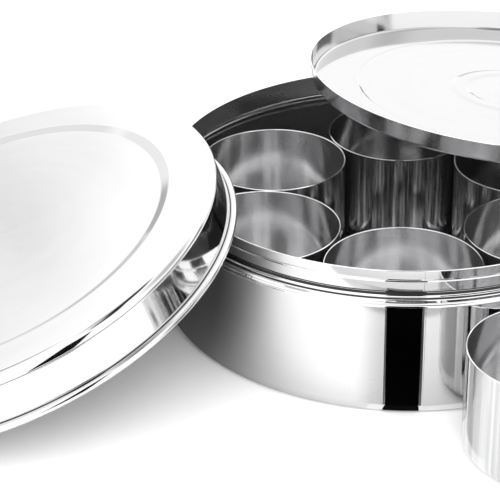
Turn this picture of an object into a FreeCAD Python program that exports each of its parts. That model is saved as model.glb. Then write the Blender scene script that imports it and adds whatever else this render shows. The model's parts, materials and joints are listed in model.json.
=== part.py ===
import FreeCAD, Part
import math
import os

# Spice box (masala dabba): a round sheet-steel box with a necked mouth, a dish-shaped
# inner lid, a deep domed outer lid and seven loose bowls.  Millimetres, +Z up.
# The origin is on the box's axis, at the underside of its base.
# The box stands open.  The outer lid leans on the neck with its far rim on the table,
# the inner lid lies across the neck, and one bowl stands on the table in front.

V = FreeCAD.Vector

# ---- driving dimensions -------------------------------------------------------------

SHEET = 0.5                  # sheet thickness of the box and of both lids

BOX_RADIUS = 99.5            # outside of the main wall
BOX_HEIGHT = 59.8            # base to the top of the neck
BOX_CORNER = 5.0             # rounding between the base and the wall
NECK_RADIUS = 95.0           # outside of the neck, over which the outer lid slides
NECK_HEIGHT = 9.2            # straight part of the neck above the shoulder beads
LIP_BAND = 4.1               # height of the plain band above the lip groove
LIP_GROOVE = 0.15            # depth of the lip groove
BEAD_STEP = 1.5              # radial step of each of the two shoulder beads
BEAD_DROP = 1.3              # height of each shoulder bead
BEAD_ROUND = 0.65            # rounding of the bead crowns
CREASE_ROUND = 0.3           # rounding of the creases beside the beads

BOWL_RADIUS = 31.0
BOWL_HEIGHT = 43.4
BOWL_CORNER = 6.0
BOWL_SHEET = 0.6
FLOOR_GAP = 0.3              # clearance under the bowls inside the box
# Bearing from +X in degrees and distance from the box's axis of each bowl in the box.
# They stand in a ring around the empty middle place; the front one has slid inwards.
BOWL_SEATS = [
    (-32.3, 63.1),
    (27.0, 63.1),
    (86.3, 63.1),
    (145.6, 63.1),
    (204.9, 63.1),
    (266.3, 61.0),
]
TABLE_SEAT = (-70.35, 130.9)  # the same for the bowl that stands on the table

OUTER_FLAT_RADIUS = 96.0     # outside of the outer lid's shoulder
OUTER_SHOULDER = 2.1         # rounding of that shoulder
OUTER_PANEL_RADIUS = 77.6    # outer edge of the slope around the sunken panel
OUTER_PANEL_SLOPE = 3.4      # radial width of that slope
OUTER_PANEL_DEPTH = 1.3      # how far the panel is sunk
OUTER_GROOVE_DEPTH = 3.6     # groove under the shoulder, below the top
OUTER_GROOVE_RADIUS = 95.4
OUTER_SKIRT_RADIUS = 96.3    # skirt's outside just above the rolled rim
OUTER_RIM_DEPTH = 19.4       # middle of the rolled rim, below the top
OUTER_RIM_RADIUS = 97.1      # middle of the rolled rim
OUTER_RIM_ROLL = 1.5         # half the thickness of the rolled rim

INNER_RIM_RADIUS = 90.5
INNER_BASE_RADIUS = 88.6     # where the wall's slope would meet the underside
INNER_DEPTH = 9.0
INNER_CORNER = 1.7
INNER_PANEL_RADIUS = 68.3    # step around the middle of the floor
INNER_PANEL_RISE = 0.45
INNER_RING_RADII = (19.4, 21.6, 25.4, 27.8)   # foot, crown, crown and foot of the ring
INNER_RING_RISE = 1.0

# Where the loose lids lie: lean is the slope of the lid's axis from vertical, and bearing
# is the compass direction, from +X, to which the top of that axis points.
OUTER_LEAN = 18.95
OUTER_BEARING = 197.2
OUTER_TOP_CENTRE = V(-167.1, -49.5, 51.45)    # middle of the flat top's plane
INNER_LEAN = 5.7
INNER_BEARING = 33.1
INNER_RIM_CENTRE = V(54.9, 63.5, 70.6)        # middle of the rim's plane


# ---- helpers ------------------------------------------------------------------------

def rounded_path(corners):
    """Edges of a path in the XZ plane through (radius, height, rounding) corners."""
    points = [V(r, 0, z) for r, z, _ in corners]
    edges = []
    here = points[0]
    for i in range(1, len(points) - 1):
        corner = points[i]
        into = (corner - points[i - 1]).normalize()
        out_of = (points[i + 1] - corner).normalize()
        rounding = corners[i][2]
        if rounding > 0:
            setback = rounding * math.tan(into.getAngle(out_of) / 2)
            first = corner - into * setback
            last = corner + out_of * setback
            inward = (out_of - into).normalize()
            half_turn = (math.pi - into.getAngle(out_of)) / 2
            middle = corner + inward * (rounding / math.sin(half_turn) - rounding)
            edges.append(Part.makeLine(here, first))
            edges.append(Part.Arc(first, middle, last).toShape())
            here = last
        else:
            edges.append(Part.makeLine(here, corner))
            here = corner
    edges.append(Part.makeLine(here, points[-1]))
    return edges


def spun_sheet(corners, thickness, side):
    """Turn a sheet about the Z axis.

    corners is the path of one face from the axis to the free edge, side (+1 or -1) is
    where the other face lies, and the free edge is rounded.
    """
    face_edges = rounded_path(corners)
    face = Part.Wire(face_edges)
    other = face.makeOffset2D(side * thickness, 0, False, True)
    ends = [other.OrderedVertexes[0].Point, other.OrderedVertexes[-1].Point]
    axis_end, free_end = sorted(ends, key=lambda point: point.x)
    face_free = V(corners[-1][0], 0, corners[-1][1])
    face_axis = V(corners[0][0], 0, corners[0][1])
    along = (face_free - V(corners[-2][0], 0, corners[-2][1])).normalize()
    crown = (face_free + free_end) / 2 + along * (thickness / 2)
    edge = Part.Arc(face_free, crown, free_end).toShape()
    core = Part.makeLine(axis_end, face_axis)
    outline = Part.Wire(Part.__sortEdges__(face_edges + other.Edges + [edge, core]))
    return Part.Face(outline).revolve(V(0, 0, 0), V(0, 0, 1), 360)


def leaning(shape, lean, bearing):
    """Lean a shape that stands on the origin towards a bearing."""
    angle = math.radians(bearing)
    hinge = V(-math.sin(angle), math.cos(angle), 0)
    shape.rotate(V(0, 0, 0), hinge, lean)
    return shape


def place_at(bearing, distance, height):
    """Point at a bearing in degrees and a distance from the Z axis."""
    angle = math.radians(bearing)
    return V(distance * math.cos(angle), distance * math.sin(angle), height)


def save(node, shape):
    """Write one node, which has to be a single valid solid."""
    solids = shape.Solids
    if len(solids) != 1 or not solids[0].isValid():
        raise ValueError(node + " isn't one valid solid")
    solids[0].exportStep("parts/" + node + ".step")
    print(node, "volume", round(solids[0].Volume), "mm3")


# ---- pieces -------------------------------------------------------------------------

def box_body():
    """Base, wall, a shoulder with two beads, and the neck with a groove under its lip."""
    neck_foot = BOX_HEIGHT - NECK_HEIGHT
    groove = BOX_HEIGHT - LIP_BAND
    first_bead = NECK_RADIUS + BEAD_STEP
    second_bead = first_bead + BEAD_STEP
    corners = [
        (0, 0, 0),
        (BOX_RADIUS, 0, BOX_CORNER),
        (BOX_RADIUS, neck_foot - 3.2, 1.2),
        (second_bead + 0.2, neck_foot - 2 * BEAD_DROP, CREASE_ROUND),
        (second_bead, neck_foot - BEAD_DROP + 0.2, BEAD_ROUND),
        (first_bead + 0.2, neck_foot - BEAD_DROP + 0.3, CREASE_ROUND),
        (first_bead, neck_foot + 0.2, BEAD_ROUND),
        (NECK_RADIUS, neck_foot, CREASE_ROUND),
        (NECK_RADIUS, groove - 0.6, 0.6),
        (NECK_RADIUS - LIP_GROOVE, groove, 0.6),
        (NECK_RADIUS, groove + 0.6, 0.6),
        (NECK_RADIUS, BOX_HEIGHT - SHEET / 2, 0),
    ]
    return spun_sheet(corners, SHEET, 1)


def bowl():
    """Straight-sided bowl with a flat base and a plain rounded edge."""
    corners = [
        (0, 0, 0),
        (BOWL_RADIUS, 0, BOWL_CORNER),
        (BOWL_RADIUS, BOWL_HEIGHT - BOWL_SHEET / 2, 0),
    ]
    return spun_sheet(corners, BOWL_SHEET, 1)


def outer_lid():
    """Flat top with a sunken panel, a rounded shoulder, a skirt and a rolled rim."""
    slope_foot = OUTER_PANEL_RADIUS - OUTER_PANEL_SLOPE
    corners = [
        (0, -OUTER_PANEL_DEPTH, 0),
        (slope_foot, -OUTER_PANEL_DEPTH, 1.5),
        (OUTER_PANEL_RADIUS, 0, 1.5),
        (OUTER_FLAT_RADIUS, 0, OUTER_SHOULDER),
        (OUTER_FLAT_RADIUS, -OUTER_GROOVE_DEPTH + 0.7, 0.6),
        (OUTER_GROOVE_RADIUS, -OUTER_GROOVE_DEPTH, 0.3),
        (OUTER_SKIRT_RADIUS, -OUTER_RIM_DEPTH, 0),
    ]
    lid = spun_sheet(corners, SHEET, -1)
    roll = Part.makeTorus(OUTER_RIM_RADIUS, OUTER_RIM_ROLL, V(0, 0, -OUTER_RIM_DEPTH))
    return lid.fuse(roll)


def inner_lid():
    """Shallow dish whose floor has a stepped panel and a raised ring at its middle."""
    foot_in, crown_in, crown_out, foot_out = INNER_RING_RADII
    corners = [
        (0, 0, 0),
        (foot_in, 0, 1.2),
        (crown_in, INNER_RING_RISE, 1.2),
        (crown_out, INNER_RING_RISE, 1.2),
        (foot_out, 0, 1.2),
        (INNER_PANEL_RADIUS, 0, 0.8),
        (INNER_PANEL_RADIUS + 1.0, INNER_PANEL_RISE, 0.8),
        (INNER_BASE_RADIUS, INNER_PANEL_RISE, INNER_CORNER),
        (INNER_RIM_RADIUS, INNER_DEPTH - SHEET / 2, 0),
    ]
    return spun_sheet(corners, SHEET, 1)


# ---- assembly -----------------------------------------------------------------------

os.makedirs("parts", exist_ok=True)

save("box_body", box_body())

bowl_places = [place_at(*seat, SHEET + FLOOR_GAP) for seat in BOWL_SEATS]
bowl_places.append(place_at(*TABLE_SEAT, 0))
for number, place in enumerate(bowl_places, start=1):
    piece = bowl()
    piece.translate(place)
    save("bowl_%d" % number, piece)

dish = inner_lid()
dish.translate(V(0, 0, -INNER_DEPTH))
dish = leaning(dish, INNER_LEAN, INNER_BEARING)
dish.translate(INNER_RIM_CENTRE)
save("inner_lid", dish)

cover = leaning(outer_lid(), OUTER_LEAN, OUTER_BEARING)
cover.translate(OUTER_TOP_CENTRE)
save("outer_lid", cover)
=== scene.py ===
import json
import math

import bpy
from mathutils import Matrix, Vector


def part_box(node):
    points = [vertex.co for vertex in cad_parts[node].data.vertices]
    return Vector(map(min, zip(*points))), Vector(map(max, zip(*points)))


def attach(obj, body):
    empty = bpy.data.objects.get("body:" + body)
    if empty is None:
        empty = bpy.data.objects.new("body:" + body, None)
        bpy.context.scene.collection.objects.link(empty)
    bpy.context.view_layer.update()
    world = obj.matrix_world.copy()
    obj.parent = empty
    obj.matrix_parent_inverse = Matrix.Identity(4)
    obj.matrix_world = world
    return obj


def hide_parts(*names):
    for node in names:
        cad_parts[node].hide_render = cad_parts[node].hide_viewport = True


# Spice box (masala dabba) of polished stainless steel: a round box with a necked mouth, two lids and
# seven bowls.  Every piece is spun sheet, so each is built here as one smooth turned mesh with exact
# normals, which a mirror finish needs, and stands for the CAD node of the same name.

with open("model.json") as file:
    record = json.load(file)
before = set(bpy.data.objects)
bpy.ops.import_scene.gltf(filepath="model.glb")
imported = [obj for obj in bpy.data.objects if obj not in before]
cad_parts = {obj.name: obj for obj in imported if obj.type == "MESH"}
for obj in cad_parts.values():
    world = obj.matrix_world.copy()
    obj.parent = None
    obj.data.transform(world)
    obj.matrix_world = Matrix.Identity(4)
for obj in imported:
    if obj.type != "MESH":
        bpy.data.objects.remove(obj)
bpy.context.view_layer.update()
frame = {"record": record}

MM = 0.001

# ---- driving dimensions, in millimetres -------------------------------------------------------------
# They are the CAD source's, but the box's shoulder and the outer lid's have softer outlines here, that
# lid's groove is finer and a little deeper, and the ring in the inner lid is lower.

SHEET = 0.5
BOX_RADIUS, BOX_HEIGHT, BOX_CORNER = 99.5, 59.8, 5.0
NECK_RADIUS, NECK_HEIGHT = 95.0, 9.2
LIP_BAND, LIP_GROOVE, LIP_GROOVE_SPREAD = 4.1, 0.15, 0.6
BEAD_ROUND, CREASE_ROUND = 0.65, 0.3
# The box's shoulder from the wall to the neck, outside and inside, as corners of
# (radius beyond the neck's, height above the neck's foot, rounding).
SHOULDER_OUTSIDE = [
    (4.5, -3.2, 1.2),
    (3.2, -2.6, CREASE_ROUND),
    (3.0, -1.1, BEAD_ROUND),
    (1.7, -1.0, CREASE_ROUND),
    (1.5, 0.2, BEAD_ROUND),
    (0.0, 0.0, CREASE_ROUND),
]
SHOULDER_INSIDE = [
    (4.0, -7.0, 0.2),
    (3.55, -6.8, 0.1),
    (4.0, -6.2, 0.2),
    (4.0, -4.2, 0.6),
    (2.0, -3.7, 0.2),
    (2.6, -3.0, 0.2),
    (2.4, -2.0, 0.3),
    (0.9, -1.3, 0.2),
    (1.1, -0.6, 0.2),
    (-0.5, 0.3, 0.4),
]
# Painted shade in the outer creases and painted highlight lines inside, as (lowest, highest) above the
# neck's foot.
SHOULDER_SHADE_BANDS = [(-0.12, 0.2), (-1.22, -1.0)]
SHOULDER_HIGHLIGHT_BANDS = [(-7.0, -6.6), (-0.9, 0.0)]

BOWL_RADIUS, BOWL_HEIGHT, BOWL_CORNER, BOWL_SHEET = 31.0, 43.4, 6.0, 0.6

OUTER_FLAT_RADIUS, OUTER_SHOULDER, OUTER_SHOULDER_RUN = 96.0, 4.3, 1.1
OUTER_PANEL_RADIUS, OUTER_PANEL_SLOPE, OUTER_PANEL_DEPTH, OUTER_PANEL_ROUND = 77.6, 3.4, 1.3, 1.5
OUTER_GROOVE_DEPTH, OUTER_GROOVE_RADIUS, OUTER_GROOVE_ROUND = 3.7, 95.1, 0.1
OUTER_GROOVE_TOP, OUTER_GROOVE_FOOT = 0.4, 0.5       # reach of the groove's slopes above and below it
OUTER_GROOVE_TOP_ROUND, OUTER_GROOVE_FOOT_ROUND = 0.3, 0.4
OUTER_SKIRT_TOP_RADIUS, OUTER_SKIRT_RADIUS = 95.55, 96.3
OUTER_RIM_DEPTH, OUTER_RIM_RADIUS, OUTER_RIM_ROLL = 19.4, 97.1, 1.5
OUTER_GROOVE_SHADE = (-0.2, 0.18)                   # painted shade along the groove, its reach below and above it
OUTER_ROLL_SHADE = 0.42                             # height of the painted shade band above the roll

INNER_RIM_RADIUS, INNER_BASE_RADIUS, INNER_DEPTH, INNER_CORNER = 90.5, 88.6, 9.0, 1.7
INNER_PANEL_RADIUS, INNER_PANEL_RUN, INNER_PANEL_RISE, INNER_PANEL_ROUND = 68.3, 1.0, 0.45, 0.8
INNER_RING_RADII, INNER_RING_RISE, INNER_RING_ROUND = (19.4, 21.6, 25.4, 27.8), 0.6, 0.6

# (slope of the lid's axis from vertical, compass bearing of its top), in degrees
OUTER_TILT = (18.95, 197.2)
INNER_TILT = (5.7, 33.1)

# ---- turned sheet -----------------------------------------------------------------------------------

ARC_STEP = math.radians(9)      # a rounding gets one row of faces for each such turn
LONGEST_RUN = 9.0               # straight stretches longer than this are divided, in millimetres
SAME_PLACE = 1e-4               # points of a profile nearer than this are one, in millimetres
ON_AXIS = 1e-5                  # a point with a smaller radius lies on the axis, in millimetres
BISECTIONS = 40                 # steps of the search for where a run meets a circle
LID_SEGMENTS, BOWL_SEGMENTS = 288, 160


def unit(a, b):
    """Direction from point a to point b of a profile."""
    length = math.hypot(b[0] - a[0], b[1] - a[1])
    return ((b[0] - a[0]) / length, (b[1] - a[1]) / length)


def straight(a, b):
    """Points from a to b, and their direction, without the last point."""
    count = max(1, math.ceil(math.hypot(b[0] - a[0], b[1] - a[1]) / LONGEST_RUN))
    way = unit(a, b)
    return [
        ((a[0] + (b[0] - a[0]) * i / count, a[1] + (b[1] - a[1]) * i / count), way)
        for i in range(count)
    ]


def rounded_path(corners):
    """(point, direction) pairs along a path through (radius, height, rounding) corners."""
    path = []
    here = corners[0][:2]
    for before, corner, after in zip(corners, corners[1:], corners[2:]):
        into, out_of = unit(before, corner), unit(corner, after)
        turn = math.atan2(
            into[0] * out_of[1] - into[1] * out_of[0],
            into[0] * out_of[0] + into[1] * out_of[1],
        )
        rounding, hand = corner[2], math.copysign(1, turn)
        setback = rounding * math.tan(abs(turn) / 2)
        first = (corner[0] - into[0] * setback, corner[1] - into[1] * setback)
        path += straight(here, first)
        centre = (first[0] - into[1] * rounding * hand, first[1] + into[0] * rounding * hand)
        steps = max(3, math.ceil(abs(turn) / ARC_STEP))
        for i in range(steps):
            way = turned(into, turn * i / steps)
            path.append(((centre[0] + way[1] * rounding * hand, centre[1] - way[0] * rounding * hand), way))
        here = (corner[0] + out_of[0] * setback, corner[1] + out_of[1] * setback)
    end = corners[-1][:2]
    return path + straight(here, end) + [(end, unit(here, end))]


def turned(way, angle):
    """Direction way turned anticlockwise by an angle in radians."""
    c, s = math.cos(angle), math.sin(angle)
    return (way[0] * c - way[1] * s, way[0] * s + way[1] * c)


def arc(centre, radius, start, end):
    """(point, normal) pairs round a circle from angle start to angle end, in radians."""
    steps = max(4, math.ceil(abs(end - start) / ARC_STEP))
    angles = [start + (end - start) * i / steps for i in range(steps + 1)]
    ways = [(math.cos(a), math.sin(a)) for a in angles]
    return [((centre[0] + radius * way[0], centre[1] + radius * way[1]), way) for way in ways]


def sheet_faces(corners, thickness, side):
    """The two faces of a bent sheet as (point, normal) runs, both from the axis to the free edge.

    corners is the path of one face, and side (+1 left, -1 right of the path) is where the other lies.
    """
    near, far = [], []
    for (r, z), (dr, dz) in rounded_path(corners):
        across = (-dz * side, dr * side)
        near.append(((r, z), (-across[0], -across[1])))
        far.append(((max(0.0, r + across[0] * thickness), z + across[1] * thickness), across))
    return near, far


def plain_edge(near, far):
    """Half-round free edge from the near face's end to the far face's."""
    (a, way), (b, _) = near[-1], far[-1]
    centre = ((a[0] + b[0]) / 2, (a[1] + b[1]) / 2)
    start = math.atan2(way[1], way[0])
    along = unit(near[-2][0], a)
    hand = math.copysign(1, way[0] * along[1] - way[1] * along[0])
    return arc(centre, math.hypot(b[0] - a[0], b[1] - a[1]) / 2, start, start + hand * math.pi)


def banded(run, finish, bands):
    """The run in (points, finish) parts; each band is the (low, high, finish) of another finish."""
    parts = []
    for start, end in zip(run, run[1:]):
        height = (start[0][1] + end[0][1]) / 2
        here = next((other for low, high, other in bands if low < height < high), finish)
        if parts and parts[-1][1] == here:
            parts[-1][0].append(end)
        else:
            parts.append(([start, end], here))
    return parts


def where_run_meets_circle(run, centre, radius):
    """The part of a run before it enters a circle, and the angle at which it enters."""
    kept = [item for item in run if math.dist(item[0], centre) > radius]
    inside, outside = run[len(kept)][0], kept[-1][0]
    for _ in range(BISECTIONS):
        middle = ((inside[0] + outside[0]) / 2, (inside[1] + outside[1]) / 2)
        if math.dist(middle, centre) > radius:
            outside = middle
        else:
            inside = middle
    kept.append((outside, kept[-1][1]))
    return kept, math.atan2(outside[1] - centre[1], outside[0] - centre[0])


def turned_piece(name, runs, segments):
    """Mesh turned about +Z from (points and normals, material) runs that follow on from each other.

    Its UV map, "turning", holds the distance along the profile in metres and the share of a whole turn.
    """
    # Rows of the profile as (point, distance), and the strips of faces between one row and the next.
    rows, strips, travelled = [], [], 0.0
    for run, finish in runs:
        for i, (point, normal) in enumerate(run):
            new_row = not rows or math.dist(point, rows[-1][0]) > SAME_PLACE
            if new_row and rows:
                travelled += math.dist(point, rows[-1][0])
            if new_row:
                rows.append((point, travelled))
            if i and new_row:
                strips.append((len(rows) - 2, len(rows) - 1, run[i - 1][1], normal, finish))

    # A ring of vertices for each row, or a single vertex where the row lies on the axis.
    verts, first_vert = [], []
    for (r, z), _ in rows:
        first_vert.append(len(verts))
        if r < ON_AXIS:
            verts.append((0.0, 0.0, z * MM))
            continue
        for k in range(segments):
            angle = 2 * math.pi * k / segments
            verts.append((r * MM * math.cos(angle), r * MM * math.sin(angle), z * MM))

    faces, finishes, normals, uvs = [], [], [], []
    materials = list(dict.fromkeys(finish for _, finish in runs))

    def corner(row, k, normal):
        """Vertex, normal and UV of one corner of a face."""
        angle = 2 * math.pi * k / segments
        on_axis = rows[row][0][0] < ON_AXIS
        vert = first_vert[row] + (0 if on_axis else k % segments)
        turned_normal = (normal[0] * math.cos(angle), normal[0] * math.sin(angle), normal[1])
        return vert, turned_normal, (rows[row][1] * MM, (k + (0.5 if on_axis else 0.0)) / segments)

    for low, high, normal_low, normal_high, finish in strips:
        for k in range(segments):
            loop = [corner(low, k, normal_low), corner(low, k + 1, normal_low),
                    corner(high, k + 1, normal_high), corner(high, k, normal_high)]
            if rows[low][0][0] < ON_AXIS:
                loop = [loop[0]] + loop[2:]
            elif rows[high][0][0] < ON_AXIS:
                loop = loop[:3]
            points = [Vector(verts[c[0]]) for c in loop]
            facing = (points[1] - points[0]).cross(points[2] - points[0])
            if facing.dot(Vector(loop[0][1])) < 0:
                loop.reverse()
            faces.append([c[0] for c in loop])
            finishes.append(materials.index(finish))
            normals += [c[1] for c in loop]
            uvs += [c[2] for c in loop]

    mesh = bpy.data.meshes.new(name)
    mesh.from_pydata(verts, [], faces)
    for material in materials:
        mesh.materials.append(material)
    mesh.polygons.foreach_set("material_index", finishes)
    layer = mesh.uv_layers.new(name="turning")
    layer.data.foreach_set("uv", [x for uv in uvs for x in uv])
    mesh.shade_smooth()
    mesh.normals_split_custom_set(normals)
    piece = bpy.data.objects.new(name, mesh)
    bpy.context.scene.collection.objects.link(piece)
    return piece


# ---- materials --------------------------------------------------------------------------------------

LINE_SHARE = 0.45               # how much of the roughness follows the turning lines, and not the smudges
BAND_SHADE = 0.94               # brightness of the steel's darker bands, as a share of its colour
DRAW_LINE_EDGES = (0.36, 0.64)  # noise values of the darkest draw lines, and of the plain steel


class Nodes:
    """Small helper that adds and links the nodes of one material or world."""

    def __init__(self, tree):
        self.tree = tree
        tree.nodes.clear()

    def add(self, kind, inputs=None, **settings):
        node = self.tree.nodes.new(kind)
        for key, value in settings.items():
            setattr(node, key, value)
        for key, value in (inputs or {}).items():
            if isinstance(value, bpy.types.NodeSocket):
                self.tree.links.new(value, node.inputs[key])
            else:
                node.inputs[key].default_value = value
        return node

    def math(self, operation, *values):
        return self.add("ShaderNodeMath", dict(enumerate(values)), operation=operation).outputs[0]

    def spread(self, value, low, high):
        """value from 0 to 1 moved to the range from low to high."""
        return self.add("ShaderNodeMapRange", {0: value, 3: low, 4: high}).outputs[0]

    def ramp(self, value, low, high):
        """Smooth step from 0 where value is low to 1 where it is high."""
        return self.add("ShaderNodeMapRange", {0: value, 1: low, 2: high},
                        interpolation_type="SMOOTHSTEP").outputs[0]


def steel(name, colour, roughness, anisotropic, streaks, waves, metallic=1.0, drawn=0.0):
    """Spun and polished stainless steel: turning lines, soft waves of the sheet and faint handling marks.

    roughness is (smooth, dull), streaks the height of the turning lines and waves that of the sheet's
    unevenness, both in metres. drawn is the share of light lost in the upright lines of a deep-drawn wall.
    """
    material = bpy.data.materials.new(name)
    material.use_nodes = True
    n = Nodes(material.node_tree)
    uv = n.add("ShaderNodeUVMap", uv_map="turning").outputs[0]
    split = n.add("ShaderNodeSeparateXYZ", {0: uv})
    along, share = split.outputs[0], split.outputs[1]
    angle = n.math("MULTIPLY", share, 2 * math.pi)
    cos, sin = n.math("COSINE", angle), n.math("SINE", angle)

    def turning_noise(per_metre, around, detail):
        """Noise with no seam: per_metre sets how fine it is along the profile, around round the axis."""
        at = n.add("ShaderNodeCombineXYZ", {
            0: n.math("MULTIPLY", cos, around),
            1: n.math("MULTIPLY", sin, around),
            2: n.math("MULTIPLY", along, per_metre),
        }).outputs[0]
        return n.add("ShaderNodeTexNoise", {"Vector": at, "Scale": 1.0, "Detail": detail}).outputs[0]

    lines = turning_noise(per_metre=1400.0, around=2.5, detail=3.0)
    if drawn:
        bands = n.ramp(turning_noise(per_metre=7.0, around=12.0, detail=3.0), *DRAW_LINE_EDGES)
        waviness = turning_noise(per_metre=9.0, around=9.0, detail=1.0)
    else:
        bands = turning_noise(per_metre=160.0, around=1.2, detail=2.0)
        waviness = turning_noise(per_metre=45.0, around=2.2, detail=1.0)
    smudges = turning_noise(per_metre=60.0, around=4.0, detail=4.0)

    smooth, dull = roughness
    mixed = n.math("ADD", n.math("MULTIPLY", lines, LINE_SHARE),
                   n.math("MULTIPLY", smudges, 1 - LINE_SHARE))
    rough = n.spread(mixed, smooth, dull)
    darker = tuple((BAND_SHADE - drawn) * c for c in colour)
    tone = n.add("ShaderNodeMix", {0: bands, 6: (*darker, 1), 7: (*colour, 1)}, data_type="RGBA").outputs[2]

    wave_bump = n.add("ShaderNodeBump", {"Height": waviness, "Distance": waves, "Strength": 1.0}).outputs[0]
    line_bump = n.add("ShaderNodeBump", {
        "Height": lines, "Distance": streaks, "Strength": 1.0, "Normal": wave_bump}).outputs[0]
    tangent = n.add("ShaderNodeTangent", direction_type="UV_MAP", uv_map="turning").outputs[0]
    shader = n.add("ShaderNodeBsdfPrincipled", {
        "Base Color": tone, "Metallic": metallic, "Roughness": rough, "Normal": line_bump,
        "Anisotropic": anisotropic, "Tangent": tangent}).outputs[0]
    n.add("ShaderNodeOutputMaterial", {"Surface": shader})
    return material


# name, colour, roughness, anisotropic, streaks, waves and, where it isn't 1, metallic
MIRROR = steel("polished_steel", (0.78, 0.78, 0.785), (0.03, 0.08), 0.7, 1.2e-6, 2.2e-5)
BOX_INSIDE = steel("box_inside_steel", (0.76, 0.76, 0.765), (0.14, 0.24), 0.5, 1.5e-6, 3.0e-5, 0.975)
LID_TOP = steel("lid_steel", (0.75, 0.75, 0.755), (0.04, 0.10), 0.5, 1.2e-6, 3.0e-5)
LID_UNDER = steel("lid_under_steel", (0.66, 0.66, 0.665), (0.12, 0.22), 0.6, 2.0e-6, 3.0e-5)
DISH = steel("dish_steel", (0.645, 0.645, 0.65), (0.05, 0.11), 0.5, 1.2e-6, 2.0e-5)
DISH_OUTSIDE = steel("dish_outside_steel", (0.60, 0.60, 0.605), (0.10, 0.26), 0.4, 4.0e-6, 9.0e-5)
# Painted highlight: steel brighter than the rest, on the free edges of every piece and in the bright lines
# inside the box's shoulder.
PAINTED_HIGHLIGHT = steel("painted_highlight_steel", (0.95, 0.95, 0.955), (0.05, 0.12), 0.0, 1.0e-6, 1.0e-5)
BOWL_SKIN = steel("bowl_steel", (0.72, 0.72, 0.725), (0.06, 0.13), 0.75, 1.5e-6, 3.0e-5, 0.985, drawn=0.2)
BOWL_INSIDE = steel("bowl_inside_steel", (0.76, 0.76, 0.765), (0.10, 0.18), 0.5, 1.0e-6, 2.5e-5, 0.98)
# Painted shade: near-black steel that darkens the creases of the box's shoulder, the outer lid's groove and
# the band just above its roll.
PAINTED_CREASE_SHADE = steel("painted_crease_shade_steel", (0.05, 0.05, 0.052), (0.30, 0.50), 0.0, 2.0e-6, 1.0e-5)

# ---- the four shapes --------------------------------------------------------------------------------


def box_piece(name):
    """Base, wall, a shoulder with two beads, and the neck with a groove under its lip."""
    neck_foot = BOX_HEIGHT - NECK_HEIGHT
    groove = BOX_HEIGHT - LIP_BAND
    lip = BOX_HEIGHT - SHEET / 2

    def shoulder(corners):
        return [(NECK_RADIUS + r, neck_foot + z, rounding) for r, z, rounding in corners]

    def bands(heights, finish):
        return [(neck_foot + low, neck_foot + high, finish) for low, high in heights]

    near, _ = sheet_faces([
        (0, 0, 0),
        (BOX_RADIUS, 0, BOX_CORNER),
        *shoulder(SHOULDER_OUTSIDE),
        (NECK_RADIUS, groove - LIP_GROOVE_SPREAD, LIP_GROOVE_SPREAD),
        (NECK_RADIUS - LIP_GROOVE, groove, LIP_GROOVE_SPREAD),
        (NECK_RADIUS, groove + LIP_GROOVE_SPREAD, LIP_GROOVE_SPREAD),
        (NECK_RADIUS, lip, 0),
    ], SHEET, 1)
    far, _ = sheet_faces([
        (0, SHEET, 0),
        (BOX_RADIUS - SHEET, SHEET, BOX_CORNER - SHEET),
        *shoulder(SHOULDER_INSIDE),
        (NECK_RADIUS - SHEET, lip, 0),
    ], SHEET, -1)
    # Painted shade in the shoulder's outer creases, painted highlight lines on its inside and on its free
    # edge.
    outside = banded(near, MIRROR, bands(SHOULDER_SHADE_BANDS, PAINTED_CREASE_SHADE))
    inside = banded(far[::-1], BOX_INSIDE, bands(SHOULDER_HIGHLIGHT_BANDS, PAINTED_HIGHLIGHT))
    return turned_piece(name, [*outside, (plain_edge(near, far), PAINTED_HIGHLIGHT), *inside], LID_SEGMENTS)


def bowl_piece(name):
    """Straight-sided bowl with a flat base and a plain rounded edge."""
    near, far = sheet_faces([
        (0, 0, 0),
        (BOWL_RADIUS, 0, BOWL_CORNER),
        (BOWL_RADIUS, BOWL_HEIGHT - BOWL_SHEET / 2, 0),
    ], BOWL_SHEET, 1)
    # The bowl's free edge is painted highlight.
    runs = [(near, BOWL_SKIN), (plain_edge(near, far), PAINTED_HIGHLIGHT), (far[::-1], BOWL_INSIDE)]
    return turned_piece(name, runs, BOWL_SEGMENTS)


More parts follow.
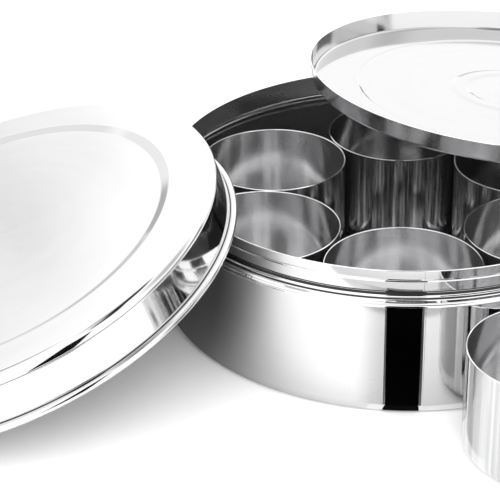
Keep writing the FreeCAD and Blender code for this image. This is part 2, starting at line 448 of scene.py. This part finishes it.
def outer_lid_piece(name):
    """Flat top with a sunken panel, a rounded shoulder, a skirt and a rolled rim."""
    slope_foot = OUTER_PANEL_RADIUS - OUTER_PANEL_SLOPE
    near, far = sheet_faces([
        (0, -OUTER_PANEL_DEPTH, 0),
        (slope_foot, -OUTER_PANEL_DEPTH, OUTER_PANEL_ROUND),
        (OUTER_PANEL_RADIUS, 0, OUTER_PANEL_ROUND),
        (OUTER_FLAT_RADIUS - OUTER_SHOULDER_RUN, 0, OUTER_SHOULDER),
        (OUTER_FLAT_RADIUS, -OUTER_GROOVE_DEPTH + OUTER_GROOVE_TOP, OUTER_GROOVE_TOP_ROUND),
        (OUTER_GROOVE_RADIUS, -OUTER_GROOVE_DEPTH, OUTER_GROOVE_ROUND),
        (OUTER_SKIRT_TOP_RADIUS, -OUTER_GROOVE_DEPTH - OUTER_GROOVE_FOOT, OUTER_GROOVE_FOOT_ROUND),
        (OUTER_SKIRT_RADIUS, -OUTER_RIM_DEPTH, 0),
    ], SHEET, -1)
    roll = (OUTER_RIM_RADIUS, -OUTER_RIM_DEPTH)
    near, start = where_run_meets_circle(near, roll, OUTER_RIM_ROLL)
    far, end = where_run_meets_circle(far, roll, OUTER_RIM_ROLL)
    rim = arc(roll, OUTER_RIM_ROLL, start, end - 2 * math.pi)
    joint_radius, joint = near[-1][0][0], near[-1][0][1]
    near.insert(-1, ((joint_radius, joint + OUTER_ROLL_SHADE), near[-1][1]))
    # Painted shade along the groove and in a band just above the rolled rim.
    below, above = OUTER_GROOVE_SHADE
    painted_shade_bands = [
        (-OUTER_GROOVE_DEPTH + below, -OUTER_GROOVE_DEPTH + above, PAINTED_CREASE_SHADE),
        (joint, joint + OUTER_ROLL_SHADE, PAINTED_CREASE_SHADE),
    ]
    runs = [*banded(near, LID_TOP, painted_shade_bands), (rim, LID_TOP), (far[::-1], LID_UNDER)]
    return turned_piece(name, runs, LID_SEGMENTS)


def inner_lid_piece(name):
    """Shallow dish whose floor has a stepped panel and a raised ring at its middle."""
    foot_in, crown_in, crown_out, foot_out = INNER_RING_RADII
    near, far = sheet_faces([
        (0, 0, 0),
        (foot_in, 0, INNER_RING_ROUND),
        (crown_in, INNER_RING_RISE, INNER_RING_ROUND),
        (crown_out, INNER_RING_RISE, INNER_RING_ROUND),
        (foot_out, 0, INNER_RING_ROUND),
        (INNER_PANEL_RADIUS, 0, INNER_PANEL_ROUND),
        (INNER_PANEL_RADIUS + INNER_PANEL_RUN, INNER_PANEL_RISE, INNER_PANEL_ROUND),
        (INNER_BASE_RADIUS, INNER_PANEL_RISE, INNER_CORNER),
        (INNER_RIM_RADIUS, INNER_DEPTH - SHEET / 2, 0),
    ], SHEET, 1)
    # The dish's free edge is painted highlight.
    runs = [(near, DISH_OUTSIDE), (plain_edge(near, far), PAINTED_HIGHLIGHT), (far[::-1], DISH)]
    return turned_piece(name, runs, LID_SEGMENTS)


# ---- placing the pieces -----------------------------------------------------------------------------


def leaning(lean, bearing):
    """Rotation that leans +Z by lean degrees towards a compass bearing in degrees."""
    towards = math.radians(bearing)
    hinge = Vector((-math.sin(towards), math.cos(towards), 0))
    return Matrix.Rotation(math.radians(lean), 4, hinge)


def stand_for(piece, node, tilt=(0.0, 0.0)):
    """Put a piece exactly where its CAD node is, and let it stand for that node."""
    piece.data.transform(leaning(*tilt))
    corners = [v.co for v in piece.data.vertices]
    low = Vector(min(c[i] for c in corners) for i in range(3))
    high = Vector(max(c[i] for c in corners) for i in range(3))
    node_low, node_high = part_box(node)
    piece.data.transform(Matrix.Translation((node_low + node_high - low - high) / 2))
    body = next(b for b, nodes in frame["record"]["behaviour"]["bodies"].items() if node in nodes)
    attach(piece, body)
    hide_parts(node)


stand_for(box_piece("box_shell"), "box_body")
stand_for(outer_lid_piece("outer_lid_shell"), "outer_lid", OUTER_TILT)
stand_for(inner_lid_piece("inner_lid_shell"), "inner_lid", INNER_TILT)
for number in range(1, 8):
    node_name = "bowl_%d" % number
    stand_for(bowl_piece(node_name + "_shell"), node_name)

# ---- studio -----------------------------------------------------------------------------------------

STUDIO_WHITE = 1.42             # brightness of the surroundings
FLOOR_REACH, FLOOR_DROP, FLOOR_ALBEDO = 4.0, 0.0002, 0.8        # lengths in metres
BACKDROP_RADIUS, BACKDROP_HEIGHT = 9.0, 16.0                    # in metres


def floor():
    """Large plain pale floor."""
    reach = FLOOR_REACH
    corners = [(-reach, -reach, 0), (reach, -reach, 0), (reach, reach, 0), (-reach, reach, 0)]
    mesh = bpy.data.meshes.new("floor")
    mesh.from_pydata(corners, [], [(0, 1, 2, 3)])
    piece = bpy.data.objects.new("floor", mesh)
    piece.location.z = -FLOOR_DROP
    bpy.context.scene.collection.objects.link(piece)
    material = bpy.data.materials.new("floor_white")
    material.use_nodes = True
    n = Nodes(material.node_tree)
    pale = (FLOOR_ALBEDO, FLOOR_ALBEDO, FLOOR_ALBEDO, 1)
    shader = n.add("ShaderNodeBsdfPrincipled", {"Base Color": pale, "Roughness": 0.9})
    n.add("ShaderNodeOutputMaterial", {"Surface": shader.outputs[0]})
    mesh.materials.append(material)


# Parts of the white surroundings that are darker, as (azimuth from, to, elevation from, to, softness,
# level), in degrees.  Azimuth 0 is +Y and 90 is +X.  Level 0 is black and 1 is as white as the rest.
PANELS = [
    (-80, -44, 31, 60, 6, 0.74),
    (-80, -27, 9, 29, 4, 0.80),
    (-29, -23.2, 9, 27.5, 3, 0.84),
    (-60, -22, -12, 9, 4, 0.40),
    (62, 108, -12, 20, 8, 0.25),
]
# Round darker parts, as (azimuth, elevation, radius, softness, level).
GAPS = [
    (100, 81, 9, 4, 0.03),
    (145, 71, 7, 4, 0.03),
    (-50, 51, 4.5, 3, 0.35),
    (-97, 46, 13, 12, 0.45),
    (90, 46, 14, 16, 0.50),
    (0, 90, 9, 8, 0.45),
]


def surroundings():
    """White surroundings with a few darker panels, which the polished steel mirrors."""
    world = bpy.data.worlds.new("studio")
    bpy.context.scene.world = world
    world.use_nodes = True
    n = Nodes(world.node_tree)
    way = n.add("ShaderNodeTexCoord").outputs["Generated"]
    split = n.add("ShaderNodeSeparateXYZ", {0: way})
    elevation = n.math("DEGREES", n.math("ARCSINE", split.outputs[2]))

    def darken(level, mask, shade):
        """level where mask is 0, and shade times level where it is 1."""
        return n.math("MULTIPLY", level, n.math("SUBTRACT", 1.0, n.math("MULTIPLY", mask, 1.0 - shade)))

    level = STUDIO_WHITE
    for start, end, bottom, top, soft, shade in PANELS:
        middle = math.radians((start + end) / 2)
        beside = n.math("ADD", n.math("MULTIPLY", split.outputs[0], math.cos(middle)),
                        n.math("MULTIPLY", split.outputs[1], -math.sin(middle)))
        ahead = n.math("ADD", n.math("MULTIPLY", split.outputs[0], math.sin(middle)),
                       n.math("MULTIPLY", split.outputs[1], math.cos(middle)))
        off = n.math("ABSOLUTE", n.math("DEGREES", n.math("ARCTAN2", beside, ahead)))
        half = (end - start) / 2
        across = n.ramp(off, half + soft / 2, half - soft / 2)
        above = n.ramp(elevation, bottom - soft / 2, bottom + soft / 2)
        below = n.ramp(elevation, top + soft / 2, top - soft / 2)
        level = darken(level, n.math("MULTIPLY", across, n.math("MULTIPLY", above, below)), shade)

    for azimuth, height, radius, soft, shade in GAPS:
        flat = math.cos(math.radians(height))
        centre = (
            flat * math.sin(math.radians(azimuth)),
            flat * math.cos(math.radians(azimuth)),
            math.sin(math.radians(height)),
        )
        near = n.add("ShaderNodeVectorMath", {0: way, 1: centre}, operation="DOT_PRODUCT").outputs["Value"]
        off = n.math("DEGREES", n.math("ARCCOSINE", n.math("MINIMUM", near, 1.0)))
        level = darken(level, n.ramp(off, radius + soft / 2, radius - soft / 2), shade)

    background = n.add("ShaderNodeBackground", {"Color": (1, 1, 1, 1), "Strength": level})
    n.add("ShaderNodeOutputWorld", {"Surface": background.outputs[0]})


FLAG_BLACK = 0.004
SLIT_Y, SLIT_TOP, WALL_FLAG_TOP = -BOX_RADIUS - 4, 46.5, 47     # in millimetres, as all of the flags are
SLIT = [(-14.0, SLIT_Y, 0), (-0.1, SLIT_Y, 0), (0.1, SLIT_Y, SLIT_TOP), (-14.3, SLIT_Y, SLIT_TOP)]
ROOM = [(-83, -438, 0), (42, -393, 0), (32, -397, 430), (-73, -434, 430)]
BESIDE_BOWL = [(7.6, -146, 0), (2.4, -112, 0), (2.4, -112, 43), (7.6, -146, 43)]


def flag(name, corners, fade=None, shade=FLAG_BLACK):
    """Card, black unless shade says otherwise, that shows only in reflections; corners are in millimetres.

    fade is (axis, where the card is darkest, where it has thinned out to nothing, darkest cover), its
    places in millimetres too.
    """
    mesh = bpy.data.meshes.new(name)
    mesh.from_pydata([[c * MM for c in corner] for corner in corners], [], [tuple(range(len(corners)))])
    card = bpy.data.objects.new(name, mesh)
    bpy.context.scene.collection.objects.link(card)
    material = bpy.data.materials.new(name)
    material.use_nodes = True
    n = Nodes(material.node_tree)
    surface = n.add("ShaderNodeBsdfDiffuse", {"Color": (shade, shade, shade, 1)}).outputs[0]
    if fade:
        axis, dark, gone, most = fade
        place = n.add("ShaderNodeSeparateXYZ", {0: n.add("ShaderNodeNewGeometry").outputs["Position"]})
        cover = n.math("MULTIPLY", n.ramp(place.outputs[axis], gone * MM, dark * MM), most)
        clear = n.add("ShaderNodeBsdfTransparent").outputs[0]
        surface = n.add("ShaderNodeMixShader", {0: cover, 1: clear, 2: surface}).outputs[0]
    n.add("ShaderNodeOutputMaterial", {"Surface": surface})
    mesh.materials.append(material)
    card.visible_camera = card.visible_diffuse = card.visible_shadow = False


def floor_flag(name, low, high, fade=None, height=0.3):
    """Flag that lies just above the floor between two opposite corners."""
    outline = [(low[0], low[1]), (high[0], low[1]), (high[0], high[1]), (low[0], high[1])]
    flag(name, [(x, y, height) for x, y in outline], fade)


def wall_flag(name, left, right, fade=None, shade=FLAG_BLACK, behind=0.0):
    """Upright flag in front of the box's wall; behind is how much further out it is than the slit's."""
    y = SLIT_Y - behind
    outline = [(left, y, 0), (right, y, 0), (right, y, WALL_FLAG_TOP), (left, y, WALL_FLAG_TOP)]
    flag(name, outline, fade, shade)


def softbox(name, place, target, size, power):
    """Rectangular area light at a place, pointed at a target, both in metres."""
    light = bpy.data.lights.new(name, "AREA")
    light.shape = "RECTANGLE"
    light.size, light.size_y = size
    light.energy = power
    lamp = bpy.data.objects.new(name, light)
    lamp.location = place
    lamp.rotation_euler = (Vector(target) - Vector(place)).to_track_quat("-Z", "Y").to_euler()
    bpy.context.scene.collection.objects.link(lamp)
    lamp.visible_glossy = False


def backdrop():
    """White wall round the stage that only the camera sees, so that no panel shows behind the object."""
    bpy.ops.mesh.primitive_cylinder_add(vertices=96, radius=BACKDROP_RADIUS, depth=BACKDROP_HEIGHT,
                                        end_fill_type="NOTHING")
    wall = bpy.context.object
    wall.name = "backdrop"
    material = bpy.data.materials.new("backdrop_white")
    material.use_nodes = True
    n = Nodes(material.node_tree)
    glow = n.add("ShaderNodeEmission", {"Color": (1, 1, 1, 1), "Strength": STUDIO_WHITE}).outputs[0]
    n.add("ShaderNodeOutputMaterial", {"Surface": glow})
    material.cycles.emission_sampling = "NONE"
    wall.data.materials.append(material)
    wall.visible_diffuse = wall.visible_glossy = wall.visible_transmission = wall.visible_shadow = False


floor()
surroundings()
backdrop()

# The black strip down the box's wall, the softer greys beside it, and its end at the base's corner.
flag("slit_flag", SLIT)
wall_flag("left_shade", -30, -14.4, fade=(0, -14, -30, 0.4))
wall_flag("right_shade", 0.2, 20, fade=(0, 0, 200, 0.25))
wall_flag("slit_back", -15, 1, shade=0.5, behind=0.5)
floor_flag("slit_foot", (-14.0, SLIT_Y), (-0.1, SLIT_Y + 12), height=0.1)

# The wedge under the outer lid's shoulder, and the grey left side of the bowl on the table.
flag("room_flag", ROOM)
flag("bowl_shade", BESIDE_BOWL, fade=(1, -118, -146, 0.42))

# Dark lines in the beads, and softer greys on the wall's left end, the neck and the outer lid's skirt.
floor_flag("bead_flag", (-30, -302), (42, -262))
floor_flag("front_flag", (-82, -570), (82, -385))
floor_flag("side_flag", (-240, -120), (-20, -20), fade=(1, -50, -118, 0.78))
floor_flag("neck_shade", (-100, -203), (45, -172), fade=(1, -172, -290, 0.42), height=0.5)
floor_flag("skirt_shade", (-230, -235), (-165, -175), fade=(1, -175, -500, 0.6))

# The same kind of contrast for the back and the right side.
floor_flag("back_flag", (-60, 104), (70, 400), fade=(0, -60, 70, 0.8))
floor_flag("right_flag", (104, -70), (400, 60), fade=(1, 60, -70, 0.8))

# Lights, which don't show in the steel: place, target and size in metres, and power in watts.
softbox("front_softbox", (-0.4, -1.3, 1.0), (-0.1, -0.1, 0), (1.6, 1.0), 31)
softbox("side_softbox", (-1.2, -0.9, 0.4), (-0.15, -0.15, 0), (1.0, 0.6), 12)

# ---- camera -----------------------------------------------------------------------------------------

CAMERA_PLACE = (-0.06292, -0.65984, 0.37254)                    # in metres
CAMERA_DOWN, CAMERA_ROLL = math.radians(28.204), math.radians(-0.869)
CAMERA_LENS, CAMERA_SENSOR = 128.0, 36.0                        # in millimetres


def camera():
    """Camera that looks along +Y and down, with a slight roll."""
    data = bpy.data.cameras.new("camera")
    data.lens = CAMERA_LENS
    data.sensor_width = CAMERA_SENSOR
    data.clip_start = 0.01
    item = bpy.data.objects.new("camera", data)
    item.matrix_world = (
        Matrix.Translation(CAMERA_PLACE)
        @ Matrix.Rotation(math.pi / 2 - CAMERA_DOWN, 4, "X")
        @ Matrix.Rotation(CAMERA_ROLL, 4, "Z")
    )
    bpy.context.scene.collection.objects.link(item)
    bpy.context.scene.camera = item


camera()
bpy.context.scene.view_settings.view_transform = "Standard"
